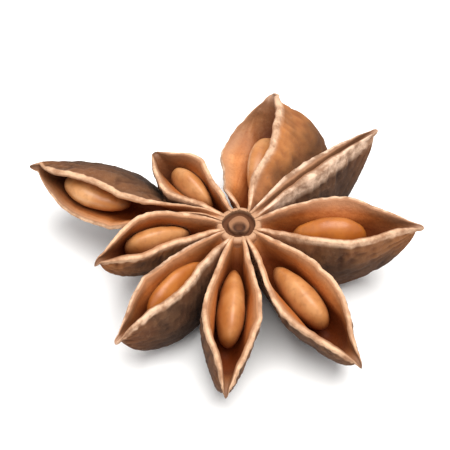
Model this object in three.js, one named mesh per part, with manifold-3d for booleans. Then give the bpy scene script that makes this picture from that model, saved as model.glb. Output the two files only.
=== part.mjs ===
// A dried star anise pod that lies with its split side up.
// Nine boat-shaped carpels grow out of one hub and make one woody husk. Eight have split open and
// hold a loose seed each, and the ninth is shut but for a slit.
// Millimetres, +Z up. The hub's flat underside is centred on the origin.
import * as THREE from "three";
import { mergeVertices } from "three/addons/utils/BufferGeometryUtils.js";
import Module from "manifold-3d";

// Height of the split edges at the hub, above the table.
const RIM_HEIGHT = 7.4;

// The hub, from its flat scar below to the dimpled knob inside its ring groove.
const HUB = {
  scarRadius: 1.6,
  waistRadius: 2.1,
  shoulderDrop: 1.2, // from the waist's upper end to the top
  topRadius: 1.9, // at the middle of its bevelled edge
  topHeight: 0.05, // above the rim
  waistStart: 0.25, // share of the rim's height at which the waist begins
  collarBevel: 0.4, // how far the top's edge is cut off, as much across as down
  grooveInner: 1.0,
  grooveOuter: 1.55,
  grooveDepth: 0.5,
  knobHeight: 0.15, // above the rim
  knobShoulder: 0.85, // share of the knob's radius at which it begins to round off
  knobEdge: 0.25, // how far its outer edge is below its top
  dimpleRadius: 0.62,
  dimpleFloor: 0.4, // share of the dimple's radius that is flat
  dimpleDepth: 0.45,
  dimpleOffset: 0.42, // towards -Y
};

// What all carpels share.
const ARM_START = 0.8; // where a carpel begins, from the hub's axis
const LIP_WIDTH = 0.55; // the rim of the split, before the inner wall slopes down
const LIP_SHARE = 0.45; // the most of a narrow mouth that its two lips take
const LIP_CROWN = 0.15; // how far a lip's middle stands above its edges
const WALL = 0.55; // the least thickness of the shell's side
const BEAK_HALF_WIDTH = 0.22; // the tip of the beak
const BEAK_DEPTH = 0.55;
const ROOT_DEPTH = 0.3; // extra depth of a carpel at the hub
const SUTURE_GROOVE = 0.12; // the crease between the lips where the mouth has closed
const ROLL_PIVOT = 3.6; // depth of the line that a leaning carpel turns about
const SLIT = 0.24; // gap between the lips of neighbours
const SLIT_RADII = [2.2, 5.5]; // over which it opens, from the hub's axis
const FUSED_LIPS = 0.1; // how far the lips of neighbours grow into each other inside that
const FUSED = 0.3; // how far their flanks do
const LIP_WAVE = 0.09; // how far a lip wanders
const LIP_WAVES = 13; // radians of that wave along a carpel
const ROOT_MOUTH = 0.15; // extra half width of the mouth at the hub
const RISE_POWER = 1.6; // how late along a carpel its tip rises or sinks
const HOOK_START = 0.65; // where along a carpel its tip begins to bend
const ROLL_END = 0.35; // where along a carpel it leans fully, unless given
const CAVITY_ENDS = [0.03, 0.97]; // where along a carpel the cavity has closed

// The keel seen from the side: its share of the full depth at the hub, where it is at full depth,
// where the stern ends, and how squarely the stern turns up into the beak.
const KEEL = { rootShare: 0.78, rootEnd: 0.4, sternEnd: 0.95, sternPower: 3.2, sternRoundness: 0.75 };
// The sides seen from above: how full they are towards both ends, and how bluntly they end.
const BELLY = { power: 0.8, sternRoundness: 0.19 };

// The powers of a section's curve: how boxy its swell is, and how near the lips its flare stays.
const OUTER_CURVE = { swell: 0.9, flare: 5 };
const INNER_CURVE = { swell: 0.7, flare: 60 };

// The coarse wrinkles of a flank: waves round it that wander, crossed by slanting waves along it.
// round and along are in radians for each radian of the section and for a carpel's length.
const WRINKLE = {
  height: 0.13,
  round: { share: 0.7, waves: 7, wander: 2.2, wanderWaves: 4 },
  along: { share: 0.5, waves: 17, slant: 3 },
  phase: 1.7, // by which each carpel's waves are ahead of its clockwise neighbour's
};

// A seed stands on edge in its carpel.
const SEED_HEIGHT = 4.4;
const SEED_TAPER = 0.16; // how much slimmer its hub end is, and fuller its outer end
const SEED_GAP = 0.3; // free space below a seed
const SEED_ROOM = 0.2; // and beside its middle
const SEED_CLEARANCE = 0.12; // the least gap all round it
const OPEN_SHARE = 0.8; // share of a seed's length along which its cavity is fully open
const SEED_CHORD = 0.2; // how far along the carpel, each way, the line that a seed follows is taken

// Each carpel, counterclockwise from +X.
// azimuth: its direction, in degrees. reach: its tip, from the hub's axis.
// rise: how far the tip is above the hub's rim. crown: how far the edges arch up halfway.
// bow and hook: how far its middle and its tip bend counterclockwise.
// gape: half the mouth's width, outside the lips, where it is widest, at `peak` of its length.
// before and beyond: how fast the mouth narrows inwards and outwards of its widest place.
// roll: how far it leans counterclockwise, in degrees, and rolledBy: where along it it does so fully.
// belly: half its width. depth: edge to keel. fullness: how blunt its outer end is, 1 unless given.
// flare: how near its lips its flanks swell out, OUTER_CURVE's unless given. bellyEnd: where along it
// its flanks have narrowed to the beak, the stern's end unless given. lopside: the share by which its
// clockwise flank is fuller, and the other one slimmer, 0 unless given.
const CARPELS = [
  {
    name: "right", azimuth: -1, reach: 16.7, rise: 0, crown: 0.6, bow: -0.3, hook: 0,
    gape: 2.8, peak: 0.5, before: 1, beyond: 1.5, roll: 6, belly: 2.5, depth: 7.6,
    seed: { at: 0.46, length: 6.8, sunk: 2.1, thickness: 2.8 },
  },
  {
    name: "back_right", azimuth: 40, reach: 16.7, rise: 0.9, crown: 0.9, bow: -0.2, hook: 0,
    gape: 0.7, peak: 0.5, before: 1, beyond: 1.5, roll: 5, belly: 1.9, depth: 8.0,
    slit: { at: 0.5, length: 8, width: 0.4, depth: 1.3 },
  },
  {
    name: "back", azimuth: 78, reach: 15.2, rise: 1.3, crown: 0.6, bow: -1.5, hook: 0,
    gape: 3.4, peak: 0.6, before: 1, beyond: 0.9, roll: 44, belly: 4.0, depth: 8.4,
    fullness: 4, flare: 18, bellyEnd: 0.9, lopside: 0.22,
    seed: { at: 0.52, length: 6.8, sunk: 2.6, thickness: 2.6 },
  },
  {
    name: "back_left", azimuth: 130, reach: 11.6, rise: 0.2, crown: 0.4, bow: 0, hook: 0.6,
    gape: 2.3, peak: 0.6, before: 1, beyond: 1.2, roll: 5, belly: 2.5, depth: 7.5,
    seed: { at: 0.55, length: 5.4, sunk: 2.1, thickness: 2.2 },
  },
  {
    name: "left_back", azimuth: 160, reach: 20.4, rise: 0.3, crown: 1.0, bow: -1.1, hook: 0,
    gape: 1.9, peak: 0.68, before: 1.4, beyond: 1.5, roll: 60, belly: 3.0, depth: 7.2,
    fullness: 1.5, rolledBy: 0.6,
    seed: { at: 0.67, length: 6.6, sunk: 2.4, thickness: 2.7 },
  },
  {
    name: "left", azimuth: 203.5, reach: 14.1, rise: 1.2, crown: 0.8, bow: -2.5, hook: 0,
    gape: 2.0, peak: 0.5, before: 1, beyond: 1.5, roll: 18, belly: 2.45, depth: 8.0,
    seed: { at: 0.48, length: 6.2, sunk: 2.5, thickness: 2.2 },
  },
  {
    name: "front_left", azimuth: 228.5, reach: 16.6, rise: -1.4, crown: 0.5, bow: 0, hook: 0,
    gape: 1.9, peak: 0.5, before: 1, beyond: 1.5, roll: -10, belly: 2.4, depth: 7.2,
    seed: { at: 0.47, length: 7.4, sunk: 2.3, thickness: 2.2 },
  },
  {
    name: "front", azimuth: 266, reach: 17.7, rise: -2.4, crown: 0.5, bow: -0.4, hook: 0,
    gape: 2.4, peak: 0.5, before: 1, beyond: 1.5, roll: 8, belly: 2.5, depth: 7.1,
    seed: { at: 0.41, length: 7.8, sunk: 2.4, thickness: 2.5 },
  },
  {
    name: "front_right", azimuth: 307.5, reach: 17.7, rise: -2.8, crown: 0.6, bow: 0.7, hook: 0,
    gape: 2.7, peak: 0.52, before: 1, beyond: 1.5, roll: -12, belly: 2.4, depth: 7.0,
    seed: { at: 0.45, length: 7.4, sunk: 2.4, thickness: 2.7 },
  },
];

// Fineness of the meshes.
const STATIONS = 22; // sections along a carpel
const STATION_CROWDING = 0.06; // brings them closer together at the hub and the tip
const SIDE_STEPS = 10; // facets from lip to lip, outside and inside
const INNER_CROWDING = 0.25; // brings the inner ones closer together at the lips
const HUB_STEPS = 24;
const SEED_STEPS = [14, 9]; // facets round a seed and from end to end

// Finishes.
const HUSK_FINISH = { color: 0x7a4a2c, roughness: 0.8, metalness: 0 };
const SEED_FINISH = { color: 0xb87333, roughness: 0.3, metalness: 0 };

const UP = new THREE.Vector3(0, 0, 1);
const { degToRad, euclideanModulo, smoothstep } = THREE.MathUtils;
const wasm = await Module();
wasm.setup();

// ---- Curves along a carpel: t runs from 0 at the hub to 1 at the tip ----

// A bump that starts and ends at 0 and is 1 at `peak`.
function bump(t, peak, innerPower, outerPower) {
  const warped = t ** (Math.log(0.5) / Math.log(peak));
  const height = Math.max(0, Math.sin(Math.PI * warped));
  return height ** (t < peak ? innerPower : outerPower);
}

// The smaller of two widths, with a rounded change from one to the other.
function softMin(a, b) {
  const sharpness = 8;
  return (a ** -sharpness + b ** -sharpness) ** (-1 / sharpness);
}

function radiusAt(carpel, t) {
  return THREE.MathUtils.lerp(ARM_START, carpel.reach, t);
}

// The point between the lips, on the line along which the carpel has split.
function suture(carpel, t) {
  const radius = radiusAt(carpel, t);
  const arch = Math.sin(Math.PI * t);
  const sideways = carpel.bow * arch + carpel.hook * smoothstep(t, HOOK_START, 1);
  const height = RIM_HEIGHT + carpel.rise * t ** RISE_POWER + carpel.crown * arch;
  return new THREE.Vector3(radius, sideways, height).applyAxisAngle(UP, degToRad(carpel.azimuth));
}

// 1 along a carpel, falling to 0 where its body ends.
function stern(t, end, fullness, roundness) {
  return Math.max(0, 1 - (t / end) ** (KEEL.sternPower * fullness)) ** roundness;
}

function keelDepth(carpel, t, fullness = carpel.fullness ?? 1) {
  const rooted = THREE.MathUtils.lerp(KEEL.rootShare, 1, smoothstep(t, 0, KEEL.rootEnd));
  const body = carpel.depth * rooted * stern(t, KEEL.sternEnd, fullness, KEEL.sternRoundness);
  return body + ROOT_DEPTH * (1 - t) + BEAK_DEPTH;
}

function freeBelly(carpel, side, t) {
  const fullness = carpel.fullness ?? 1;
  const belly = carpel.belly * (1 - side * (carpel.lopside ?? 0));
  const swell = bump(t, 0.5, BELLY.power, BELLY.power / fullness);
  const narrowed = stern(t, carpel.bellyEnd ?? KEEL.sternEnd, fullness, BELLY.sternRoundness);
  return belly * swell * narrowed + BEAK_HALF_WIDTH;
}

function freeMouth(carpel, _side, t) {
  const opening = carpel.gape * bump(t, carpel.peak, carpel.before, carpel.beyond);
  return opening + BEAK_HALF_WIDTH + ROOT_MOUTH * (1 - t);
}

// Half a width on one side, where the neighbour there leaves room: +1 is counterclockwise.
// `line` gives the middle of that width along a carpel.
function besideNeighbour(carpel, side, t, freeWidth, line, clearance) {
  const index = CARPELS.indexOf(carpel) + side;
  const neighbour = CARPELS[euclideanModulo(index, CARPELS.length)];
  const reached = Math.min(1, (radiusAt(carpel, t) - ARM_START) / (neighbour.reach - ARM_START));
  const gap = line(neighbour, reached).sub(line(carpel, t));
  const own = freeWidth(carpel, side, t);
  const share = own / (own + freeWidth(neighbour, -side, reached));
  return softMin(own, share * (Math.hypot(gap.x, gap.y) - clearance));
}

function bellyHalfWidth(carpel, side, t) {
  return besideNeighbour(carpel, side, t, freeBelly, suture, -FUSED);
}

// The gap between the lips of neighbours, less than 0 where they have grown together.
function slitWidth(carpel, t) {
  const opened = smoothstep(radiusAt(carpel, t), ...SLIT_RADII);
  return THREE.MathUtils.lerp(-FUSED_LIPS, SLIT, opened);
}

function mouthHalfWidth(carpel, side, t) {
  const smooth = besideNeighbour(carpel, side, t, freeMouth, mouthLine, slitWidth(carpel, t));
  const phase = 2 * CARPELS.indexOf(carpel) + side;
  return smooth + LIP_WAVE * Math.sin(LIP_WAVES * t + phase) * Math.sin(Math.PI * t);
}

function mouthLine(carpel, t) {
  return sectionFrame(carpel, t).origin;
}

// How far the cavity is open: 0 at the hub and the beak, 1 along the middle of the seed.
function openness(carpel, t) {
  const { at, length } = carpel.seed ?? carpel.slit;
  const halfSpan = (OPEN_SHARE * length) / 2 / (carpel.reach - ARM_START);
  const [start, end] = CAVITY_ENDS;
  return smoothstep(t, start, at - halfSpan) * (1 - smoothstep(t, at + halfSpan, end));
}

function cavityDepth(carpel, t) {
  const deepest = carpel.seed
    ? carpel.seed.sunk + SEED_HEIGHT / 2 + SEED_GAP
    : carpel.slit.depth;
  return deepest * openness(carpel, t) + SUTURE_GROOVE;
}

// Where a section is, and which way is across it and up out of its mouth. It leans about a line that
// rises to the edges towards the tip as the keel of a plain carpel does, whatever its own fullness.
function sectionFrame(carpel, t) {
  const leftward = new THREE.Vector3(0, 1, 0).applyAxisAngle(UP, degToRad(carpel.azimuth));
  const roll = degToRad(carpel.roll) * smoothstep(t, 0, carpel.rolledBy ?? ROLL_END);
  const pivot = Math.min(ROLL_PIVOT, keelDepth(carpel, t, 1) / 2);
  const across = leftward.clone().multiplyScalar(Math.cos(roll)).addScaledVector(UP, -Math.sin(roll));
  const upward = leftward.clone().multiplyScalar(Math.sin(roll)).addScaledVector(UP, Math.cos(roll));
  const origin = suture(carpel, t).addScaledVector(UP, -pivot).addScaledVector(upward, pivot);
  const place = (x, z) => origin.clone().addScaledVector(across, x).addScaledVector(upward, z);
  return { origin, across, upward, place };
}

// ---- Sections ----

// A point of a boat-shaped section. The angle runs from 0 at the left lip over the keel to pi.
function hullPoint(angle, lipHalfWidth, sideHalfWidth, depth, swellPower, flarePower) {
  const turn = Math.cos(angle);
  const swell = sideHalfWidth * Math.abs(turn) ** swellPower;
  const flare = (lipHalfWidth - sideHalfWidth) * Math.abs(turn) ** flarePower;
  return [Math.sign(turn) * (swell + flare), -depth * Math.sin(angle)];
}

// The coarse wrinkles that run along a flank, faded out at its lip, hub and tip.
function wrinkle(carpel, t, angle) {
  const { height, round, along } = WRINKLE;
  const phase = WRINKLE.phase * CARPELS.indexOf(carpel);
  const wander = round.wander * Math.sin(round.wanderWaves * t + phase);
  const ridges = round.share * Math.sin(round.waves * angle + wander + phase);
  const folds = along.share * Math.sin(along.waves * t + along.slant * angle + 2 * phase);
  const fade = Math.sin(angle) * Math.sin(Math.PI * t);
  return height * (ridges + folds) * fade;
}

function outerPoint(carpel, t, angle) {
  const side = angle < Math.PI / 2 ? 1 : -1;
  const lip = mouthHalfWidth(carpel, side, t);
  const belly = bellyHalfWidth(carpel, side, t);
  const flare = carpel.flare ?? OUTER_CURVE.flare;
  const [x, z] = hullPoint(angle, lip, belly, keelDepth(carpel, t), OUTER_CURVE.swell, flare);
  const swell = wrinkle(carpel, t, angle);
  return [x + swell * Math.cos(angle), z - swell * Math.sin(angle)];
}

// Half the shell's width on one side at a depth below its lips, without its wrinkles.
function shellHalfWidth(carpel, side, t, depth) {
  const angle = Math.asin(Math.min(1, depth / keelDepth(carpel, t)));
  const lip = mouthHalfWidth(carpel, side, t);
  const belly = bellyHalfWidth(carpel, side, t);
  return hullPoint(angle, lip, belly, depth, OUTER_CURVE.swell, carpel.flare ?? OUTER_CURVE.flare)[0];
}

// The inner wall stays as far inside the shell as the lip is wide.
function innerPoint(carpel, t, angle) {
  const side = angle < Math.PI / 2 ? 1 : -1;
  const lip = lipInnerEdge(carpel, side, t);
  const pocket = carpel.seed ? pocketHalfWidth(carpel, side, t) : lip;
  const halfWidth = THREE.MathUtils.lerp(lip, pocket, openness(carpel, t));
  const depth = cavityDepth(carpel, t);
  const [x, z] = hullPoint(angle, lip, halfWidth, depth, INNER_CURVE.swell, INNER_CURVE.flare);
  const shell = shellHalfWidth(carpel, side, t, -z);
  return [Math.sign(x) * Math.min(Math.abs(x), shell - lipWidth(shell)), z];
}

// The hollow that a seed sits in, below the slope of the inner wall.
function pocketHalfWidth(carpel, side, t) {
  return Math.min(bellyHalfWidth(carpel, side, t) - WALL, carpel.seed.thickness / 2 + SEED_ROOM);
}

function lipWidth(halfWidth) {
  return Math.min(LIP_WIDTH, LIP_SHARE * halfWidth);
}

function lipInnerEdge(carpel, side, t) {
  const outer = mouthHalfWidth(carpel, side, t);
  const inner = outer - lipWidth(outer);
  return carpel.slit ? Math.min(inner, carpel.slit.width / 2) : inner;
}

function lipTop(carpel, side, t) {
  const outer = mouthHalfWidth(carpel, side, t);
  const middle = (outer + lipInnerEdge(carpel, side, t)) / 2;
  return [side * middle, LIP_CROWN * Math.min(1, outer)];
}

// The angles of a section's points. Crowding brings them closer together at the lips.
function sectionAngles(crowding = 0) {
  return Array.from({ length: SIDE_STEPS + 1 }, (_, i) => {
    const angle = (Math.PI * i) / SIDE_STEPS;
    return angle - crowding * Math.sin(2 * angle);
  });
}

// The closed outline of one section: down outside from the left lip, up at the right, back inside.
function sectionPoints(carpel, t) {
  const outerAngles = sectionAngles();
  const innerAngles = sectionAngles(INNER_CROWDING).toReversed();
  const outline = [
    ...outerAngles.map((angle) => outerPoint(carpel, t, angle)),
    lipTop(carpel, -1, t),
    ...innerAngles.map((angle) => innerPoint(carpel, t, angle)),
    lipTop(carpel, 1, t),
  ];
  const { place } = sectionFrame(carpel, t);
  return outline.map(([x, z]) => place(x, z));
}

// ---- Solids ----

// Triangles that close one end of the loft, between the outer and the inner side of its section.
function capTriangles(start, count) {
  const triangles = [];
  const outer = (i) => start + i;
  const inner = (i) => start + 2 * SIDE_STEPS + 2 - i;
  for (let i = 0; i < SIDE_STEPS; i++) {
    triangles.push([outer(i), outer(i + 1), inner(i + 1)]);
    triangles.push([outer(i), inner(i + 1), inner(i)]);
  }
  triangles.push([outer(0), inner(0), start + count - 1]);
  triangles.push([outer(SIDE_STEPS), start + SIDE_STEPS + 1, inner(SIDE_STEPS)]);
  return triangles;
}

// Stations lie closer together towards the hub and the tip.
function stationAt(index) {
  const even = index / (STATIONS - 1);
  return even - STATION_CROWDING * Math.sin(2 * Math.PI * even);
}

function carpelSolid(carpel) {
  const sections = Array.from({ length: STATIONS }, (_, i) => sectionPoints(carpel, stationAt(i)));
  const count = sections[0].length;
  const triangles = [];
  for (let s = 0; s < STATIONS - 1; s++) {
    for (let i = 0; i < count; i++) {
      const here = s * count + i;
      const next = s * count + ((i + 1) % count);
      triangles.push([here, here + count, next + count], [here, next + count, next]);
    }
  }
  const flipped = ([a, b, c]) => [a, c, b];
  triangles.push(...capTriangles(0, count));
  triangles.push(...capTriangles((STATIONS - 1) * count, count).map(flipped));
  const positions = sections.flat().flatMap((point) => point.toArray());
  return new wasm.Manifold(
    new wasm.Mesh({
      numProp: 3,
      vertProperties: new Float32Array(positions),
      triVerts: new Uint32Array(triangles.flat()),
    }),
  );
}

function toSolid(geometry) {
  geometry.deleteAttribute("normal");
  geometry.deleteAttribute("uv");
  const merged = mergeVertices(geometry, 1e-3);
  return new wasm.Manifold(
    new wasm.Mesh({
      numProp: 3,
      vertProperties: merged.attributes.position.array,
      triVerts: new Uint32Array(merged.index.array),
    }),
  );
}

function toGeometry(solid) {
  const mesh = solid.getMesh();
  const geometry = new THREE.BufferGeometry();
  geometry.setAttribute("position", new THREE.BufferAttribute(mesh.vertProperties, 3));
  geometry.setIndex(new THREE.BufferAttribute(mesh.triVerts, 1));
  geometry.computeVertexNormals();
  return geometry;
}

// A solid of revolution about Z from [radius, height] pairs, listed from the bottom up.
function turnedGeometry(profile) {
  const points = profile.map(([radius, height]) => new THREE.Vector2(radius, height));
  return new THREE.LatheGeometry(points, HUB_STEPS).rotateX(Math.PI / 2);
}

function hubSolid() {
  const top = RIM_HEIGHT + HUB.topHeight;
  const profile = [
    [0, 0],
    [HUB.scarRadius, 0],
    [HUB.waistRadius, HUB.waistStart * RIM_HEIGHT],
    [HUB.waistRadius, top - HUB.shoulderDrop],
    [HUB.topRadius + HUB.collarBevel / 2, top - HUB.collarBevel],
    [HUB.topRadius - HUB.collarBevel / 2, top],
    [0, top],
  ];
  return toSolid(turnedGeometry(profile));
}

// What is taken off the hub's top: the ring groove, the knob's round shoulder and its dimple, which
// lies off the middle.
function crownCut() {
  const top = RIM_HEIGHT + HUB.topHeight;
  const knob = RIM_HEIGHT + HUB.knobHeight;
  const floor = top - HUB.grooveDepth;
  const above = 2 * top;
  const geometry = turnedGeometry([
    [0, knob - HUB.dimpleDepth],
    [HUB.dimpleFloor * HUB.dimpleRadius, knob - HUB.dimpleDepth],
    [HUB.dimpleRadius, knob],
    [HUB.knobShoulder * HUB.grooveInner, knob],
    [HUB.grooveInner, knob - HUB.knobEdge],
    [HUB.grooveInner, floor],
    [HUB.grooveOuter, floor],
    [HUB.grooveOuter, top],
    [HUB.grooveOuter, above],
    [0, above],
  ]);
  const position = geometry.attributes.position;
  for (let i = 0; i < position.count; i++) {
    const fromMiddle = Math.hypot(position.getX(i), position.getY(i)) / HUB.grooveInner;
    position.setY(i, position.getY(i) - HUB.dimpleOffset * Math.max(0, 1 - fromMiddle));
  }
  return toSolid(geometry);
}

// The half-space above the table, which leaves a small flat spot on each keel that reaches it.
function aboveTable() {
  const side = 60;
  return toSolid(new THREE.BoxGeometry(side, side, side).translate(0, 0, side / 2));
}

// The seed's print in the husk, so that it lies free.
function seedPrint(carpel) {
  const seed = new THREE.Mesh(seedGeometry(carpel.seed, SEED_CLEARANCE));
  placeSeed(seed, carpel);
  seed.updateMatrix();
  return toSolid(seed.geometry.applyMatrix4(seed.matrix));
}

function huskGeometry() {
  let husk = hubSolid();
  for (const carpel of CARPELS) husk = husk.add(carpelSolid(carpel));
  for (const carpel of CARPELS) if (carpel.seed) husk = husk.subtract(seedPrint(carpel));
  return toGeometry(husk.subtract(crownCut()).intersect(aboveTable()));
}

// An egg that lies along X, flattened across Y, with its slim end towards -X. A margin makes it
// larger all round.
function seedGeometry({ length, thickness }, margin = 0) {
  const egg = new THREE.SphereGeometry(1, ...SEED_STEPS).rotateZ(-Math.PI / 2);
  egg.deleteAttribute("normal");
  egg.deleteAttribute("uv");
  const geometry = mergeVertices(egg, 1e-4);
  const position = geometry.attributes.position;
  for (let i = 0; i < position.count; i++) {
    const along = position.getX(i);
    const fullness = 1 + SEED_TAPER * along;
    position.setXYZ(
      i,
      along * (length / 2 + margin),
      position.getY(i) * fullness * (thickness / 2 + margin),
      position.getZ(i) * fullness * (SEED_HEIGHT / 2 + margin),
    );
  }
  geometry.computeVertexNormals();
  return geometry;
}

// A seed lies along its carpel's edges, square to the section at its middle.
function placeSeed(mesh, carpel) {
  const { at, sunk } = carpel.seed;
  const { across, place } = sectionFrame(carpel, at);
  const offCentre = (pocketHalfWidth(carpel, 1, at) - pocketHalfWidth(carpel, -1, at)) / 2;
  const ahead = sectionFrame(carpel, at + SEED_CHORD).origin;
  const behind = sectionFrame(carpel, at - SEED_CHORD).origin;
  const along = ahead.sub(behind).normalize();
  const upward = along.clone().cross(across).normalize();
  const sideways = upward.clone().cross(along);
  mesh.position.copy(place(offCentre, -sunk));
  mesh.quaternion.setFromRotationMatrix(new THREE.Matrix4().makeBasis(along, sideways, upward));
}

function huskMesh() {
  const mesh = new THREE.Mesh(huskGeometry(), new THREE.MeshStandardMaterial(HUSK_FINISH));
  mesh.name = "husk";
  return mesh;
}

function seedMesh(carpel) {
  const finish = new THREE.MeshStandardMaterial(SEED_FINISH);
  const mesh = new THREE.Mesh(seedGeometry(carpel.seed), finish);
  mesh.name = `seed_${carpel.name}`;
  placeSeed(mesh, carpel);
  return mesh;
}

const pod = new THREE.Group();
pod.add(huskMesh());
for (const carpel of CARPELS) if (carpel.seed) pod.add(seedMesh(carpel));

export default pod;
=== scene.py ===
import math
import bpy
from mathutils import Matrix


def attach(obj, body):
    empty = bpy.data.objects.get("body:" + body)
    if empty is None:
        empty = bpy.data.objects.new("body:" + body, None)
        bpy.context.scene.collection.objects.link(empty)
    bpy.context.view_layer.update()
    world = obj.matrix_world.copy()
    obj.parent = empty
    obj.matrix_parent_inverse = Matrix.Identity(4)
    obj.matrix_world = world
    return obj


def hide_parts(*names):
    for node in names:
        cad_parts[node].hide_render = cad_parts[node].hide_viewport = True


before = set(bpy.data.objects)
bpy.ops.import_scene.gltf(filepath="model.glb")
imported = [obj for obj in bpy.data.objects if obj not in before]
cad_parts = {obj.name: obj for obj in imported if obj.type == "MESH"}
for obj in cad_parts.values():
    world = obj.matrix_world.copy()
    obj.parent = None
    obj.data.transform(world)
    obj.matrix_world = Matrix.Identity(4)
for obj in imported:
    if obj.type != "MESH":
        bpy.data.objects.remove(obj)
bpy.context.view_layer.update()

# The looks of a dried star anise pod: a woody husk of nine boat-shaped carpels round a hub, eight of them
# split open with a glossy seed inside, and one that is shut but for a slit. Shapes are worked out in
# millimetres from the same named sizes as the solids, and turned into metres as each mesh is made.

from types import SimpleNamespace

import bpy
import numpy as np
from mathutils import Vector, noise

MM = 0.001
UP = np.array([0.0, 0.0, 1.0])

# ---------------------------------------------------------------- driving sizes, mm and degrees

RIM_HEIGHT = 7.4  # the split edges at the hub, above the table

# waist_start, knob_shoulder and dimple_floor are shares of the height, the knob's radius and the dimple's.
# face_height is how far down the hub's side is coloured like the hollows that it closes.
HUB = SimpleNamespace(
    scar_radius=1.6, waist_radius=2.1, waist_start=0.25, shoulder_drop=1.2, top_radius=1.9, top_height=0.05,
    collar_round=0.4, groove_inner=1.0, groove_outer=1.55, groove_depth=0.5, knob_height=0.15,
    knob_shoulder=0.85, knob_edge=0.25, dimple_radius=0.62, dimple_floor=0.4, dimple_depth=0.45,
    dimple_offset=0.42, face_height=2.5,
)

ARM_START = 0.8  # where a carpel starts, from the hub's axis
LIP_WIDTH = 0.55
LIP_SHARE = 0.45  # the most of a narrow half mouth that its lip takes
LIP_CROWN = 0.15  # how high a lip's round top stands
WALL = 0.55
BEAK_HALF_WIDTH = 0.22
BEAK_DEPTH = 0.55
ROOT_DEPTH = 0.3
SUTURE_GROOVE = 0.12  # depth between the lips where there is no hollow
ROLL_PIVOT = 3.6  # depth of the line about which a carpel leans, at most
SLIT = 0.24  # gap between the lips of neighbours
SLIT_RADII = (2.2, 5.5)  # over which it opens
FUSED = 0.3  # how far the flanks of neighbours run into each other
ROOT_MOUTH = 0.15  # what half the mouth is wider by at the hub
RISE_POWER = 1.6  # how late along its length a carpel's rim rises or sinks
HOOK_START = 0.65  # share of the length from which a tip hooks
CAVITY_ENDS = (0.03, 0.97)  # shares of the length between which a carpel is hollow
FUSED_LIPS = 0.1  # how far the lips of neighbours run into each other
LIP_WAVE = 0.09  # how far a lip's slow waves go sideways
LIP_WAVES = 13  # radians of them along a carpel

SEED_HEIGHT = 4.4
SEED_TAPER = 0.16  # share by which its ends are slimmer or fuller than its middle
SEED_GAP = 0.3  # below a seed
SEED_ROOM = 0.2  # beside it
SEED_CLEARANCE = 0.1  # between it and its print in the wall, where its hollow is too narrow
OPEN_SHARE = 0.8  # the share of a seed's length along which its hollow is fully open
SEED_CHORD = 0.2  # half the stretch of the carpel that a seed lies parallel to
SEED_EDGE = 1.08  # how sharply a seed is keeled

# The keel seen from the side: its share of the full depth at the hub, where it is at full depth, where the
# stern ends, and how suddenly and how squarely it turns up into the beak.
KEEL = SimpleNamespace(root_share=0.78, root_end=0.4, stern_end=0.95, stern_power=3.2, stern_roundness=0.75)
# The sides seen from above: how full they are towards both ends, and how bluntly they end.
BELLY = SimpleNamespace(power=0.8, stern_roundness=0.19)

# The powers of a section's curve: how boxy it is, and how near to the lips its flare stays, unless given.
OUTER_CURVE = SimpleNamespace(swell=0.9, flare=5)
INNER_CURVE = SimpleNamespace(swell=0.7, flare=60)

# The coarse wrinkles of a flank: waves round it that wander, crossed by slanting waves along it.
WRINKLE = SimpleNamespace(
    height=0.13, phase=1.7,
    round_share=0.7, round_waves=7, wander=2.2, wander_waves=4,
    along_share=0.5, along_waves=17, slant=3,
)

PALE_FADE = (0.3, 0.8)  # share of a lip's width over which its pale edge turns into the inner wall
SEAM_SHARE = 0.4  # share of it that a brown seam takes where it has grown together with the next lip
PALE_START = 0.2  # share of the pale band outside a lip over which it doesn't fade

# ---------------------------------------------------------------- detail that only the looks have, mm

FINE_WRINKLE = 0.13  # height of the narrow wrinkles between the coarse ones
LIP_NICK = 0.14  # how far a lip's edge wanders sideways
LIP_RIPPLE = 0.16  # and up and down
RIPPLE_FADE = 0.8  # depth below the rim at which that has mostly gone
SEED_DENT = 0.06  # unevenness of a seed's coat
SEED_DENTS = ((1.6, 1), (0.7, 0.45))  # sizes of its dents, and the share of that height that each has

# The sizes of a lip's unevenness along it, the coarser first.
NICK_SIZES = (1.3, 0.5)
CREST_SIZES = (2.2, 0.45)
RIPPLE_SIZES = (1.6, 0.6)
CREST_POWER = 0.7  # how square a lip's top is

# The narrow wrinkles: how far they drift, how sharp the creases are between their ridges, and the grain on
# them. Each size is that of a mark round the carpel and along it.
SKIN = SimpleNamespace(
    drift_size=(3, 3.5), drift=0.9,
    crease_size=(0.8, 3.0), crease_sharpness=4, ridge=1.3, level=0.75,
    grain_size=(0.4, 0.5), grain=0.6,
    fold_size=(1.6, 0.5), fold_drift=2, fold_grain=0.5,
)
SKIN_START = (0.02, 0.3)  # share of the depth below the lip over which the wrinkles begin
FOLD_BAND = ((0.0, 0.08), (0.2, 0.55))  # and over which the folds across the lip begin and end
SKIN_ENDS = ((0.02, 0.15), (0.93, 1))  # share of the length over which both begin and end

BEAK_START = 0.97  # share of the length from which the beak's end is rounded off
BEAK_LENGTH = 0.031  # and the share over which it would close
SECTION_MIDDLE = 0.35  # share of a section's depth at which the beak's end closes
HUB_UNEVENNESS = 0.05  # share of its radius by which the hub is out of round
CROWN_UNEVENNESS = 0.1  # and its knob and groove
UNEVEN_WAVES = 1.5  # how quickly that changes round the hub
CORNER_CUTS = 2  # times that the corners of the knob and the groove are cut to round them
SHARP_ANGLE = 70  # from which an edge of the husk is shaded as sharp

# How the paint's grain lies on a carpel: mm of skin for each radian round its outside and its inside, a
# place for the inside's that is out of reach of the outside's, and the length that a carpel is taken to be.
GRAIN = SimpleNamespace(outer_girth=5.2, inner_girth=3.6, inner_place=20, length=16)

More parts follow.
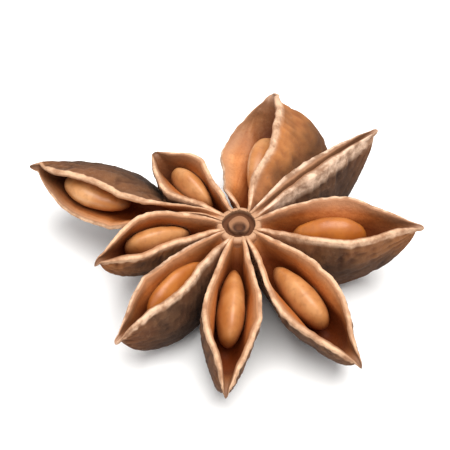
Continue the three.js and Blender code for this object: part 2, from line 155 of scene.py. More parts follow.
STATIONS = 110  # sections along a carpel
CROWDING = 0.06  # how much closer together they are towards its ends
OUTER_STEPS = 64  # facets of a section from lip to lip, outside
INNER_STEPS = 28  # and inside
LIP_STEPS = 6  # facets across a lip
COLLAR_STEPS = 6  # facets over the edge of the hub's collar
HUB_STEPS = 96  # and round the hub
SEED_STEPS = 64  # facets round a seed
PRINT_STEPS = 32  # and round what is cut out for it

# ---------------------------------------------------------------- the carpels

# What a carpel has unless its own sizes say otherwise.
USUAL = dict(
    hook=0, peak=0.5, before=1, beyond=1.5, fullness=1, flare=OUTER_CURVE.flare, belly_end=KEEL.stern_end,
    lopside=0, rolled_by=0.35, ruddy=0.15, golden=0.4, pale=0.6, weathered=0, seed=None, slit=None,
)


def carpel(name, azimuth, reach, rise, crown, bow, gape, roll, belly, depth, **others):
    """One carpel's sizes, with its angles in radians. What isn't given is as usual."""
    shape = {**USUAL, **others}
    return SimpleNamespace(
        name=name, azimuth=math.radians(azimuth), reach=reach, rise=rise, crown=crown, bow=bow,
        gape=gape, roll=math.radians(roll), belly=belly, depth=depth, **shape,
    )


def seed(at, length, sunk, thickness, toasted=0):
    """A seed's place along its carpel, its middle's depth and its sizes. toasted makes it orange brown."""
    return SimpleNamespace(at=at, length=length, sunk=sunk, thickness=thickness, toasted=toasted)


# Counterclockwise from +X. azimuth is a carpel's direction and reach its tip, from the hub's axis. The tip
# is `rise` above the rim, and the edges arch up by `crown` halfway. bow and hook bend the middle and the
# tip counterclockwise. gape is half the mouth's width outside its lips at `peak` of the length, before and
# beyond which it narrows at its own rate. roll leans the carpel counterclockwise, in full from `rolled_by`
# of its length. belly is half its width, ends at `belly_end`, and is fuller on the right by `lopside`.
# fullness is how bluntly the body ends, and flare how near to the lips its sides turn in or out.
#
# Its looks: how red brown the flank is, how gold the hollow is, which is partly its own tone and partly
# painted light on the brighter carpels, how many mm the pale edge reaches down outside the lips, and how
# grey the lips have weathered.
CARPELS = [
    carpel("right", -1, 16.7, rise=0, crown=0.6, bow=-0.3, gape=2.8, roll=6, belly=2.5, depth=7.6,
           ruddy=0.4, golden=0, weathered=0.3, seed=seed(0.46, 6.8, 2.1, 2.8, toasted=1)),
    carpel("back_right", 40, 16.7, rise=0.9, crown=0.9, bow=-0.2, gape=0.7, roll=5, belly=1.9, depth=8.0,
           pale=1.8, weathered=1, slit=SimpleNamespace(at=0.5, length=8, width=0.4, depth=1.3)),
    carpel("back", 78, 15.2, rise=1.3, crown=0.6, bow=-1.5, gape=3.4, roll=44, belly=4.0, depth=8.4,
           peak=0.6, beyond=0.9, fullness=4, flare=18, belly_end=0.9, lopside=0.22, ruddy=1, golden=1,
           weathered=0.4, seed=seed(0.52, 6.8, 2.6, 2.6)),
    carpel("back_left", 130, 11.6, rise=0.2, crown=0.4, bow=0, gape=2.3, roll=5, belly=2.5, depth=7.5,
           hook=0.6, peak=0.6, beyond=1.2, golden=0.2, seed=seed(0.55, 5.4, 2.1, 2.2)),
    carpel("left_back", 160, 20.4, rise=0.3, crown=1.0, bow=-1.1, gape=1.9, roll=60, belly=3.0, depth=7.2,
           peak=0.68, before=1.4, fullness=1.5, rolled_by=0.6, ruddy=0.25, golden=0.7,
           pale=0.3, seed=seed(0.67, 6.6, 2.4, 2.7)),
    carpel("left", 203.5, 14.1, rise=1.2, crown=0.8, bow=-2.5, gape=2.0, roll=18, belly=2.45, depth=8.0,
           ruddy=0.7, golden=0.2, seed=seed(0.48, 6.2, 2.5, 2.2)),
    carpel("front_left", 228.5, 16.6, rise=-1.4, crown=0.5, bow=0, gape=1.9, roll=-10, belly=2.4, depth=7.2,
           weathered=0.5, seed=seed(0.47, 7.4, 2.3, 2.2, toasted=0.9)),
    carpel("front", 266, 17.7, rise=-2.4, crown=0.5, bow=-0.4, gape=2.4, roll=8, belly=2.5, depth=7.1,
           golden=0.6, seed=seed(0.41, 7.8, 2.4, 2.5, toasted=0.35)),
    carpel("front_right", 307.5, 17.7, rise=-2.8, crown=0.6, bow=0.7, gape=2.7, roll=-12, belly=2.4,
           depth=7.0, peak=0.52, golden=0.6, seed=seed(0.45, 7.4, 2.4, 2.7, toasted=0.25)),
]

# ---------------------------------------------------------------- curves along a carpel
# t runs from 0 at the hub to 1 at the tip, and may be an array.


def smooth_step(x, low, high):
    s = np.clip((x - low) / (high - low), 0, 1)
    return s * s * (3 - 2 * s)


def between(x, beginning, end):
    """1 between two ranges of x, rising from 0 over the first and falling back over the second."""
    return smooth_step(x, *beginning) * (1 - smooth_step(x, *end))


def bump(t, peak, before, beyond):
    """A bump that starts and ends at 0 and is 1 at peak."""
    warped = t ** (math.log(0.5) / math.log(peak))
    height = np.maximum(0, np.sin(math.pi * warped))
    return np.where(t < peak, height**before, height**beyond)


def soft_min(a, b):
    """The smaller of two widths, with a rounded change from one to the other."""
    sharpness = 8
    return (a**-sharpness + b**-sharpness) ** (-1 / sharpness)


def directions(arm):
    outward = np.array([math.cos(arm.azimuth), math.sin(arm.azimuth), 0])
    return outward, np.cross(UP, outward)


def radius_at(arm, t):
    return ARM_START + (arm.reach - ARM_START) * t


def suture(arm, t):
    """The points between the lips, on the line along which the carpel has split."""
    t = np.asarray(t, float)[..., None]
    outward, leftward = directions(arm)
    arch = np.sin(math.pi * t)
    radius = radius_at(arm, t)
    sideways = arm.bow * arch + arm.hook * smooth_step(t, HOOK_START, 1)
    height = RIM_HEIGHT + arm.rise * t**RISE_POWER + arm.crown * arch
    return radius * outward + sideways * leftward + height * UP


def stern(t, end, fullness, roundness):
    """1 along a carpel, falling to 0 where its body ends."""
    return np.maximum(0, 1 - (t / end) ** (KEEL.stern_power * fullness)) ** roundness


def keel_depth(arm, t, fullness=None):
    rooted = KEEL.root_share + (1 - KEEL.root_share) * smooth_step(t, 0, KEEL.root_end)
    body = arm.depth * rooted * stern(t, KEEL.stern_end, fullness or arm.fullness, KEEL.stern_roundness)
    return body + ROOT_DEPTH * (1 - t) + BEAK_DEPTH


def free_belly(arm, side, t):
    belly = arm.belly * (1 - side * arm.lopside)
    swell = bump(t, 0.5, BELLY.power, BELLY.power / arm.fullness)
    return belly * swell * stern(t, arm.belly_end, arm.fullness, BELLY.stern_roundness) + BEAK_HALF_WIDTH


def free_mouth(arm, _side, t):
    return arm.gape * bump(t, arm.peak, arm.before, arm.beyond) + BEAK_HALF_WIDTH + ROOT_MOUTH * (1 - t)


def beside_neighbour(arm, side, t, free_width, line, clearance):
    """Half a width on one side of a line, where the neighbour leaves room: side 1 is counterclockwise."""
    neighbour = CARPELS[(CARPELS.index(arm) + side) % len(CARPELS)]
    reached = np.minimum(1, (radius_at(arm, t) - ARM_START) / (neighbour.reach - ARM_START))
    gap = line(neighbour, reached) - line(arm, t)
    own = free_width(arm, side, t)
    share = own / (own + free_width(neighbour, -side, reached))
    return soft_min(own, share * (np.hypot(gap[..., 0], gap[..., 1]) - clearance))


def belly_half_width(arm, side, t):
    return beside_neighbour(arm, side, t, free_belly, suture, -FUSED)


def lip_noise(arm, side, t, sizes, layer):
    """Noise along one lip, with features of each of these sizes in mm, the finer ones lower.

    Each lip has a line of noise of its own in each layer.
    """
    line = 7.0 * CARPELS.index(arm) + 3.0 * side + 100 * layer
    total = np.zeros(len(t))
    for octave, size in enumerate(sizes):
        points = [Vector((place / size, line + octave, 0)) for place in arm.reach * t]
        total += 0.5**octave * np.array([noise.noise(point) for point in points])
    return total


def slit_width(arm, t):
    """The gap between the lips of neighbours, less than 0 where they have grown together."""
    return (SLIT + FUSED_LIPS) * smooth_step(radius_at(arm, t), *SLIT_RADII) - FUSED_LIPS


def mouth_line(arm, t):
    return section_frame(arm, t)[0]


def mouth_half_width(arm, side, t):
    smooth = beside_neighbour(arm, side, t, free_mouth, mouth_line, slit_width(arm, t))
    phase = 2 * CARPELS.index(arm) + side
    wave = LIP_WAVE * np.sin(LIP_WAVES * t + phase)
    nicks = LIP_NICK * lip_noise(arm, side, t, NICK_SIZES, layer=0)
    return smooth + (wave + nicks) * np.sin(math.pi * t)


def lip_width(half_width):
    return np.minimum(LIP_WIDTH, LIP_SHARE * half_width)


def lip_inner_edge(arm, side, t):
    outer = mouth_half_width(arm, side, t)
    inner = outer - lip_width(outer)
    return np.minimum(inner, arm.slit.width / 2) if arm.slit else inner


def pocket_half_width(arm, side, t):
    """The hollow that a seed sits in, below the slope of the inner wall."""
    return np.minimum(belly_half_width(arm, side, t) - WALL, arm.seed.thickness / 2 + SEED_ROOM)


def openness(arm, t):
    """How far the cavity is open: 0 at the hub and the beak, 1 along the middle of the seed."""
    hollow = arm.seed or arm.slit
    half_span = OPEN_SHARE * hollow.length / 2 / (arm.reach - ARM_START)
    return between(t, (CAVITY_ENDS[0], hollow.at - half_span), (hollow.at + half_span, CAVITY_ENDS[1]))


def cavity_depth(arm, t):
    deepest = arm.seed.sunk + SEED_HEIGHT / 2 + SEED_GAP if arm.seed else arm.slit.depth
    return deepest * openness(arm, t) + SUTURE_GROOVE


def section_frame(arm, t):
    """Where the sections are, and which way is across them and up out of their mouths."""
    leftward = directions(arm)[1]
    roll = (arm.roll * smooth_step(t, 0, arm.rolled_by))[..., None]
    across = np.cos(roll) * leftward - np.sin(roll) * UP
    upward = np.sin(roll) * leftward + np.cos(roll) * UP
    pivot = np.minimum(ROLL_PIVOT, keel_depth(arm, t, fullness=1) / 2)[..., None]
    return suture(arm, t) - pivot * UP + pivot * upward, across, upward


# ---------------------------------------------------------------- sections


def hull_point(angle, lip_half_width, side_half_width, depth, swell_power, flare_power):
    """One side of a boat-shaped section: the angle runs from 0 at the left lip over the keel to pi."""
    turn = np.cos(angle)
    swell = side_half_width * np.abs(turn) ** swell_power
    flare = (lip_half_width - side_half_width) * np.abs(turn) ** flare_power
    return np.sign(turn) * (swell + flare), -depth * np.sin(angle)


def by_side(arm, width, t, angle):
    """A width that differs between the two sides, for each station and each angle of a section."""
    left = width(arm, 1, t)[:, None]
    right = width(arm, -1, t)[:, None]
    return np.where(angle < math.pi / 2, left, right)


def coarse_wrinkle(arm, t, angle):
    """The wrinkles that the solids have too, in mm."""
    phase = WRINKLE.phase * CARPELS.index(arm)
    t = t[:, None]
    wander = WRINKLE.wander * np.sin(WRINKLE.wander_waves * t + phase)
    ridges = WRINKLE.round_share * np.sin(WRINKLE.round_waves * angle + wander + phase)
    folds = WRINKLE.along_share * np.sin(WRINKLE.along_waves * t + WRINKLE.slant * angle + 2 * phase)
    return WRINKLE.height * (ridges + folds) * np.sin(angle) * np.sin(math.pi * t)


def skin_noise(around, along, size, layer, drift=0.0):
    """Noise at a place on the skin, given in mm both ways, with marks of one size."""
    return noise.noise(Vector((around / size[0] + drift, along / size[1] + drift, layer)))


def wrinkle_and_fold(around, along, layer):
    """The height of the skin at one place: of its ridges between narrow creases, and of its folds."""
    drift = SKIN.drift * skin_noise(around, along, SKIN.drift_size, layer + 5)
    crease = skin_noise(around, along, SKIN.crease_size, layer, drift)
    grain = skin_noise(around, along, SKIN.grain_size, layer + 3)
    ridge = SKIN.ridge * math.tanh(SKIN.crease_sharpness * abs(crease))
    fold = skin_noise(around, along, SKIN.fold_size, layer + 7, SKIN.fold_drift * drift)
    return ridge - SKIN.level + SKIN.grain * grain, fold + SKIN.fold_grain * grain


def fine_wrinkle(arm, t, angle):
    """Rounded ridges with narrow creases between them along the flank, and folds across its lip."""
    layer = 10.0 * CARPELS.index(arm)
    girth = GRAIN.outer_girth * angle
    length = arm.reach * t
    skin = np.array([[wrinkle_and_fold(around, along, layer) for around in girth] for along in length])
    depth = np.sin(angle)
    wrinkles = skin[..., 0] * smooth_step(depth, *SKIN_START)
    folds = skin[..., 1] * between(depth, *FOLD_BAND)
    return (wrinkles + folds) * between(t, *SKIN_ENDS)[:, None]


def outer_side(arm, t, angle, fine):
    lip = by_side(arm, mouth_half_width, t, angle)
    belly = by_side(arm, belly_half_width, t, angle)
    x, z = hull_point(angle, lip, belly, keel_depth(arm, t)[:, None], OUTER_CURVE.swell, arm.flare)
    swell = coarse_wrinkle(arm, t, angle) + FINE_WRINKLE * fine
    return x + swell * np.cos(angle), z - swell * np.sin(angle)


def shell_half_width(arm, t, angle, depth):
    """Half the shell's width at a depth below its lips, without its wrinkles."""
    lip = by_side(arm, mouth_half_width, t, angle)
    belly = by_side(arm, belly_half_width, t, angle)
    turn = np.arcsin(np.minimum(1, depth / keel_depth(arm, t)[:, None]))
    return hull_point(turn, lip, belly, depth, OUTER_CURVE.swell, arm.flare)[0]


def inner_side(arm, t, angle):
    """The inner wall, which stays as far inside the shell as the lip is wide."""
    lip = by_side(arm, lip_inner_edge, t, angle)
    pocket = by_side(arm, pocket_half_width, t, angle) if arm.seed else lip
    half_width = lip + (pocket - lip) * openness(arm, t)[:, None]
    depth = cavity_depth(arm, t)[:, None]
    x, z = hull_point(angle, lip, half_width, depth, INNER_CURVE.swell, INNER_CURVE.flare)
    shell = shell_half_width(arm, t, angle, -z)
    return np.sign(x) * np.minimum(np.abs(x), shell - lip_width(shell)), z


def lip_arc(arm, side, t):
    """The rounded top of one lip, from its outer to its inner edge."""
    outer = mouth_half_width(arm, side, t)
    inner = lip_inner_edge(arm, side, t)
    rise = LIP_CROWN * np.minimum(1, outer) * (1 + lip_noise(arm, side, t, CREST_SIZES, layer=1))
    turn = np.linspace(0, math.pi, LIP_STEPS + 1)[1:-1]
    middle = ((outer + inner) / 2)[:, None]
    half = ((outer - inner) / 2)[:, None]
    return side * (middle + half * np.cos(turn)), rise[:, None] * np.sin(turn) ** CREST_POWER


def rim_ripple(arm, t, x, z):
    """How far the rim stands above or below its smooth line, fading out down both of its sides."""
    left, right = (lip_noise(arm, side, t, RIPPLE_SIZES, layer=2)[:, None] for side in (1, -1))
    ends = np.sin(math.pi * t)[:, None]
    return LIP_RIPPLE * np.where(x > 0, left, right) * np.exp(-np.abs(z) / RIPPLE_FADE) * ends


def beak_rounding(t):
    """1 along the carpel, and down to almost 0 over the very end, so that the beak is blunt and round."""
    return np.sqrt(np.clip(1 - (np.maximum(0, t - BEAK_START) / BEAK_LENGTH) ** 2, 0, 1))[:, None]


def section(arm, t, outer_angle, inner_angle, fine):
    """Each section's points across and up, round it from the left lip under the keel and back inside."""
    outer_x, outer_z = outer_side(arm, t, outer_angle, fine)
    right_x, right_z = lip_arc(arm, -1, t)
    inner_x, inner_z = inner_side(arm, t, inner_angle)
    left_x, left_z = lip_arc(arm, 1, t)
    x = np.hstack([outer_x, right_x, inner_x, left_x[:, ::-1]])
    z = np.hstack([outer_z, right_z, inner_z, left_z[:, ::-1]])
    z = z + rim_ripple(arm, t, x, z)
    rounding = beak_rounding(t)
    middle = -SECTION_MIDDLE * keel_depth(arm, t)[:, None]
    return x * rounding, middle + (z - middle) * rounding


# ---------------------------------------------------------------- meshes


def add_masks(mesh, masks):
    for mask, values in masks.items():
        attribute = mesh.attributes.new(mask, "FLOAT", "POINT")
        attribute.data.foreach_set("value", np.asarray(values, np.float32).ravel())


def add_mesh(name, points, faces, masks=None):
    """A smooth mesh object from points in mm, with one float attribute for each mask."""
    mesh = bpy.data.meshes.new(name)
    mesh.from_pydata((np.asarray(points) * MM).tolist(), [], faces)
    add_masks(mesh, masks or {})
    mesh.shade_smooth()
    thing = bpy.data.objects.new(name, mesh)
    bpy.context.scene.collection.objects.link(thing)
    return thing


def ring_faces(rows, count, first=0):
    """Quads of a tube of `rows` rings with `count` points each, facing outwards."""
    faces = []
    for row in range(rows - 1):
        for i in range(count):
            here = first + row * count + i
            beside = first + row * count + (i + 1) % count
            faces.append((here, here + count, beside + count, beside))
    return faces


def carpel_masks(arm, t, outer_angle, inner_angle, fine):
    """What the husk's paint goes by at every point of the sections."""
    lip_turn = np.linspace(0, 1, LIP_STEPS + 1)[1:-1]  # from a lip's outer to its inner edge
    widths = (len(outer_angle), len(lip_turn), len(inner_angle), len(lip_turn))

    def ring(*parts):
        """One mask from its values outside, on the right lip, inside and on the left lip."""
        return np.hstack([np.broadcast_to(part, (len(t), width)) for part, width in zip(parts, widths)])

    fused = 1 - smooth_step(radius_at(arm, t), *SLIT_RADII)[:, None]
    seam = fused * (1 - smooth_step(lip_turn, 0, SEAM_SHARE))
    crest = (1 - seam) * (1 - smooth_step(lip_turn, *PALE_FADE))
    below_rim = keel_depth(arm, t)[:, None] * np.sin(outer_angle)
    outer_edge = (1 - fused) * (1 - smooth_step(below_rim, PALE_START * arm.pale, arm.pale))
    inner_depth = cavity_depth(arm, t)[:, None] * np.sin(inner_angle)
    inner_girth = GRAIN.inner_place + GRAIN.inner_girth * inner_angle
    along = t[:, None]
    return {
        "inside": ring(0, lip_turn, 1, lip_turn[::-1]),
        "lip": ring(outer_edge, crest, 0, crest[:, ::-1]),
        "relief": ring(fine, 0, 0, 0),
        "sunk": ring(below_rim, 0, inner_depth, 0),
        "along": ring(along, along, along, along),
        "girth": ring(GRAIN.outer_girth * outer_angle, GRAIN.outer_girth * math.pi, inner_girth, 0),
        "ruddy": np.full((len(t), sum(widths)), arm.ruddy),
        "golden": np.full((len(t), sum(widths)), arm.golden),
        "weathered": np.full((len(t), sum(widths)), arm.weathered),
    }


def carpel_mesh(arm):
    even = np.linspace(0, 1, STATIONS)
    t = even - CROWDING * np.sin(2 * math.pi * even)
    outer_angle = np.linspace(0, math.pi, OUTER_STEPS + 1)
    inner_angle = np.linspace(math.pi, 0, INNER_STEPS + 1)
    fine = fine_wrinkle(arm, t, outer_angle)
    x, z = section(arm, t, outer_angle, inner_angle, fine)
    origin, across, upward = section_frame(arm, t)
    points = origin[:, None] + x[..., None] * across[:, None] + z[..., None] * upward[:, None]
    masks = carpel_masks(arm, t, outer_angle, inner_angle, fine)
    count = x.shape[1]
    faces = ring_faces(STATIONS, count)
    faces.append(tuple(range(count)))
    faces.append(tuple(reversed(range((STATIONS - 1) * count, STATIONS * count))))
    return add_mesh("carpel_" + arm.name, points.reshape(-1, 3), faces, masks)


def turned_mesh(name, profile, unevenness, lean=0, lean_radius=1):
    """A closed solid of revolution about Z from (radius, height) pairs from the bottom up.

    Its middle leans towards -Y by `lean`, which fades out at `lean_radius`.
    """
    angles = np.linspace(0, 2 * math.pi, HUB_STEPS, endpoint=False)
    ring = np.stack([np.cos(angles), np.sin(angles), 0 * angles], 1)
    wobble = 1 + unevenness * np.array([noise.noise(UNEVEN_WAVES * Vector(p)) for p in ring])[:, None]
    rings = [radius * ring * wobble + height * UP for radius, height in profile[1:-1]]
    points = np.vstack([profile[0][1] * UP[None], *rings, profile[-1][1] * UP[None]])
    points[:, 1] -= lean * np.maximum(0, 1 - np.hypot(points[:, 0], points[:, 1]) / lean_radius)
    faces = [tuple(reversed(face)) for face in ring_faces(len(rings), HUB_STEPS, first=1)]
    last = len(points) - 1
    top = last - HUB_STEPS
    for i in range(HUB_STEPS):
        beside = (i + 1) % HUB_STEPS
        faces.append((0, 1 + beside, 1 + i))
        faces.append((last, top + i, top + beside))
    return add_mesh(name, points, faces)


def smooth_profile(profile):
    """Rounds a turned profile's corners by cutting them, and keeps its two ends on the axis."""
    points = [np.array(p, float) for p in profile]
    for _ in range(CORNER_CUTS):
        cut = [points[0]]
        for a, b in zip(points, points[1:]):
            cut += [0.75 * a + 0.25 * b, 0.25 * a + 0.75 * b]
        points = cut + [points[-1]]
    return [tuple(p) for p in points]


def hub_mesh():
    top = RIM_HEIGHT + HUB.top_height
    bend = HUB.collar_round
    collar_edge = [
        (HUB.top_radius + bend * (math.sin(turn) - 0.5), top + bend * (math.cos(turn) - 1))
        for turn in np.linspace(math.pi / 2, 0, COLLAR_STEPS + 1)
    ]
    hub = turned_mesh("hub", [
        (0, 0),
        (HUB.scar_radius, 0),
        (HUB.waist_radius, HUB.waist_start * RIM_HEIGHT),
        (HUB.waist_radius, top - HUB.shoulder_drop),
        *collar_edge,
        (0, top),
    ], HUB_UNEVENNESS)
    below_rim = RIM_HEIGHT - np.array([point.co.z for point in hub.data.vertices]) / MM
    add_masks(hub.data, {"inside": below_rim < HUB.face_height, "sunk": below_rim})
    return hub


def crown_cut_mesh():
    """What is taken off the hub's top: the ring groove, the knob's round shoulder and its dimple."""
    top = RIM_HEIGHT + HUB.top_height
    knob = RIM_HEIGHT + HUB.knob_height
    floor = top - HUB.groove_depth
    return turned_mesh("crown_cut", smooth_profile([
        (0, knob - HUB.dimple_depth),
        (HUB.dimple_floor * HUB.dimple_radius, knob - HUB.dimple_depth),
        (HUB.dimple_radius, knob),
        (HUB.knob_shoulder * HUB.groove_inner, knob),
        (HUB.groove_inner, knob - HUB.knob_edge),
        (HUB.groove_inner, floor),
        (HUB.groove_outer, floor),
        (HUB.groove_outer, top),
        (HUB.groove_outer, 2 * top),
        (0, 2 * top),
    ]), CROWN_UNEVENNESS, HUB.dimple_offset, HUB.groove_inner)


def below_table_mesh():
    side = 30
    low = -10
    corners = [(x, y, z) for z in (low, 0) for y in (-side, side) for x in (-side, side)]
    faces = [(0, 2, 3, 1), (4, 5, 7, 6), (0, 1, 5, 4), (1, 3, 7, 5), (3, 2, 6, 7), (2, 0, 4, 6)]
    return add_mesh("below_table", corners, faces)


def seed_rings(around):
    """The bands of facets from end to end of a seed that has this many facets round it."""
    return around * 3 // 4


def seed_shape(arm, around):
    """An egg along X, flattened and faintly keeled, with its slim end towards -X, and its normals."""
    half_sizes = np.array([arm.seed.length, arm.seed.thickness, SEED_HEIGHT]) / 2
    polar = np.linspace(0, math.pi, seed_rings(around) + 1)[1:-1]
    turn = np.linspace(2 * math.pi, 0, around, endpoint=False)
    along = -np.cos(polar)[:, None]
    radius = np.sin(polar)[:, None] * (1 + SEED_TAPER * along)
    across = radius * np.sign(np.cos(turn)) * np.abs(np.cos(turn)) ** SEED_EDGE
    height = radius * np.sin(turn)
    body = np.stack([along + 0 * across, across, height], 2).reshape(-1, 3)
    local = np.vstack([body, [[-1, 0, 0], [1, 0, 0]]]) * half_sizes
    normals = local / half_sizes**2
    normals /= np.linalg.norm(normals, axis=1)[:, None]
    dents = np.array([seed_dent(arm, Vector(point)) for point in local])
    return local + SEED_DENT * dents[:, None] * normals, normals


def seed_dent(arm, point):
    """The unevenness at one place of a seed's coat. No two seeds have the same."""
    place = Vector((5.0 * CARPELS.index(arm), 0, 0))
    return sum(share * noise.noise(point / size + place) for size, share in SEED_DENTS)


def seed_faces(around):
    rings = seed_rings(around)
    faces = ring_faces(rings - 1, around)
    first = (rings - 1) * around
    last = first + 1
    end_ring = (rings - 2) * around
    for i in range(around):
        beside = (i + 1) % around
        faces.append((first, i, beside))
        faces.append((last, end_ring + beside, end_ring + i))
    return faces


def in_carpel(arm, local):
    """A seed's points where it lies: on edge, with its slim end towards the hub."""
    at = arm.seed.at + SEED_CHORD * np.array([-1, 0, 1])
    origin, across_axis, upward = section_frame(arm, at)
    forward = origin[2] - origin[0]
    forward /= np.linalg.norm(forward)
    up_axis = np.cross(forward, across_axis[1])
    up_axis /= np.linalg.norm(up_axis)
    side_axis = np.cross(up_axis, forward)
    middle = at[1:2]
    off_centre = (pocket_half_width(arm, 1, middle) - pocket_half_width(arm, -1, middle))[0] / 2
    centre = origin[1] + off_centre * across_axis[1] - arm.seed.sunk * upward[1]
    return centre + local @ np.stack([forward, side_axis, up_axis])


def seed_mesh(arm):
    local, _normals = seed_shape(arm, SEED_STEPS)
    masks = {
        "seed_end": -local[:, 0] / arm.seed.length * 2,
        "seed_high": local[:, 2] / SEED_HEIGHT * 2,
        "toasted": np.full(len(local), arm.seed.toasted),
    }
    return add_mesh("seed_coat_" + arm.name, in_carpel(arm, local), seed_faces(SEED_STEPS), masks)


def seed_print_mesh(arm):
    """What a seed has pressed out of the hollow's wall: its own shape with a little room round it."""
    local, normals = seed_shape(arm, PRINT_STEPS)
    points = in_carpel(arm, local + SEED_CLEARANCE * normals)
    masks = {
        "inside": np.ones(len(local)),
        "sunk": np.full(len(local), arm.seed.sunk),
        "along": np.full(len(local), arm.seed.at),
        "golden": np.full(len(local), arm.golden),
    }
    return add_mesh("seed_print_" + arm.name, points, seed_faces(PRINT_STEPS), masks)


def boolean(target, tool, operation):
    """Joins or cuts target with tool, and removes the tool."""
    modifier = target.modifiers.new(operation, "BOOLEAN")
    modifier.operation = operation
    modifier.object = tool
    modifier.solver = "MANIFOLD"
    bpy.context.view_layer.objects.active = target
    bpy.ops.object.modifier_apply(modifier=modifier.name)
    bpy.data.objects.remove(tool)


def husk_mesh():
    husk = hub_mesh()
    husk.name = "husk_shell"
    for arm in CARPELS:
        boolean(husk, carpel_mesh(arm), "UNION")
    for arm in CARPELS:
        if arm.seed:
            boolean(husk, seed_print_mesh(arm), "DIFFERENCE")
    boolean(husk, crown_cut_mesh(), "DIFFERENCE")
    boolean(husk, below_table_mesh(), "DIFFERENCE")
    husk.data.shade_smooth()
    husk.data.set_sharp_from_angle(angle=math.radians(SHARP_ANGLE))
    return husk


# ---------------------------------------------------------------- materials


def srgb(red, green, blue):
    """A colour given as it looks on a screen, 0 to 255, as linear light."""
    def linear(value):
        value /= 255
        return value / 12.92 if value <= 0.04045 else ((value + 0.055) / 1.055) ** 2.4
    return (linear(red), linear(green), linear(blue), 1)


# The colours of a carpel's outside, inside and split edges, of the hub's top and of a seed.
# In FLANK, the crease colours are painted shade in the creases of the wrinkles, and the darkest is painted
# shade low down on the flank.
FLANK = SimpleNamespace(
    crease=srgb(40, 25, 17), ridge=srgb(92, 64, 45), patch=srgb(84, 48, 30),
    ruddy_crease=srgb(150, 90, 50), ruddy_ridge=srgb(182, 118, 66),
    root=srgb(170, 114, 78), speck=srgb(146, 110, 84), shade_underneath=srgb(34, 22, 16),
)
# In HOLLOW, upper is partly painted light under the lips, deep and root are painted shade far down in the
# hollow and at its hub end, and beak is partly painted shade.
HOLLOW = SimpleNamespace(
    brown=srgb(120, 62, 27), brown_streak=srgb(160, 97, 54),
    gold=srgb(188, 114, 58), gold_streak=srgb(224, 158, 100),
    blotch=srgb(204, 138, 82), patch=srgb(140, 70, 26), speck=srgb(122, 62, 24), upper=srgb(178, 130, 96),
    orange=srgb(178, 92, 26), deep=srgb(120, 50, 12), weathered=srgb(136, 98, 72), root=srgb(96, 50, 26),
    beak=srgb(100, 64, 42),
)
RIM = SimpleNamespace(
    dark=srgb(160, 116, 86), pale=srgb(214, 174, 140), speck=srgb(140, 98, 70),
    grey_dark=srgb(124, 98, 80), grey_pale=srgb(222, 196, 176), beak=srgb(120, 84, 60),
    tip=srgb(108, 78, 58), weathered_tip=srgb(196, 160, 134),
)
# In CROWN, dimple and groove are painted shade in the hub's dimple and ring groove.
CROWN = SimpleNamespace(
    dimple=srgb(70, 41, 25), knob=srgb(142, 99, 70), collar=srgb(184, 142, 110), speck=srgb(150, 106, 74),
    groove=srgb(92, 54, 31),
)
# In COAT, the last colour is painted shade on the seed's lower side.
COAT = SimpleNamespace(
    pale_dark=srgb(178, 114, 60), pale=srgb(202, 146, 94), toasted_dark=srgb(158, 84, 26),
    toasted=srgb(178, 106, 40), fleck=srgb(129, 72, 33), end=srgb(89, 50, 26), shade_underneath=srgb(132, 66, 22),
)


class Paint:
    """Short ways to make the nodes of one material."""

    def __init__(self, name):
        self.material = bpy.data.materials.new(name)
        self.material.use_nodes = True
        self.tree = self.material.node_tree
        self.shader = self.tree.nodes["Principled BSDF"]

    def put(self, socket, value):
        if isinstance(value, bpy.types.NodeSocket):
            self.tree.links.new(value, socket)
        else:
            socket.default_value = value

    def node(self, kind, output=0, settings=None, **inputs):
        made = self.tree.nodes.new("ShaderNode" + kind)
        for key, value in (settings or {}).items():
            setattr(made, key, value)
        for key, value in inputs.items():
            self.put(made.inputs[key.replace("_", " ")], value)
        return made.outputs[output]

    def mask(self, name):
        return self.node("Attribute", "Fac", {"attribute_name": name})

    def object_point(self):
        return self.node("TexCoord", "Object")

    def noise_at(self, point, scale, detail, roughness):
        return self.node("TexNoise", "Fac", Vector=point, Scale=scale, Detail=detail, Roughness=roughness)

    def noise(self, size_mm, detail=3, roughness=0.5):
        return self.noise_at(self.object_point(), 1 / (size_mm * MM), detail, roughness)

    def remap(self, value, start, end, to_start=0.0, to_end=1.0):
        made = self.tree.nodes.new("ShaderNodeMapRange")
        for index, number in enumerate((value, start, end, to_start, to_end)):
            self.put(made.inputs[index], number)
        return made.outputs[0]

    def remap_mm(self, distance, start_mm, end_mm):
        return self.remap(distance, start_mm * MM, end_mm * MM)

    def math(self, operation, a, b=0.0):
        made = self.tree.nodes.new("ShaderNodeMath")
        made.operation = operation
        self.put(made.inputs[0], a)
        self.put(made.inputs[1], b)
        return made.outputs[0]

    def mix(self, share, a, b):
        made = self.tree.nodes.new("ShaderNodeMix")
        made.data_type = "RGBA"
        self.put(made.inputs["Factor"], share)
        self.put(made.inputs["A"], a)
        self.put(made.inputs["B"], b)
        return made.outputs["Result"]

    def layer(self, under, over, mask, start, end, share=1.0):
        """Lays a share of one colour over another, as far as a mask has gone from start to end."""
        return self.mix(self.remap(mask, start, end, 0, share), under, over)

    def bump(self, height, distance_mm, strength, normal=None):
        made = self.tree.nodes.new("ShaderNodeBump")
        made.inputs["Distance"].default_value = distance_mm * MM
        made.inputs["Strength"].default_value = strength
        self.put(made.inputs["Height"], height)
        if normal:
            self.put(made.inputs["Normal"], normal)
        return made.outputs["Normal"]

    def from_axis(self, x, y):
        """How far a point is from the upright axis that its x and y are measured from."""
        squares = self.math("ADD", self.math("MULTIPLY", x, x), self.math("MULTIPLY", y, y))
        return self.math("SQRT", squares)

    def grain_point(self, across_mm, along_mm):
        """Where a point is on its carpel's skin, in units of a mark's width and length."""
        across = self.math("DIVIDE", self.mask("girth"), across_mm)
        along = self.math("MULTIPLY", self.mask("along"), GRAIN.length / along_mm)
        return self.node("CombineXYZ", X=across, Y=along, Z=0.0)


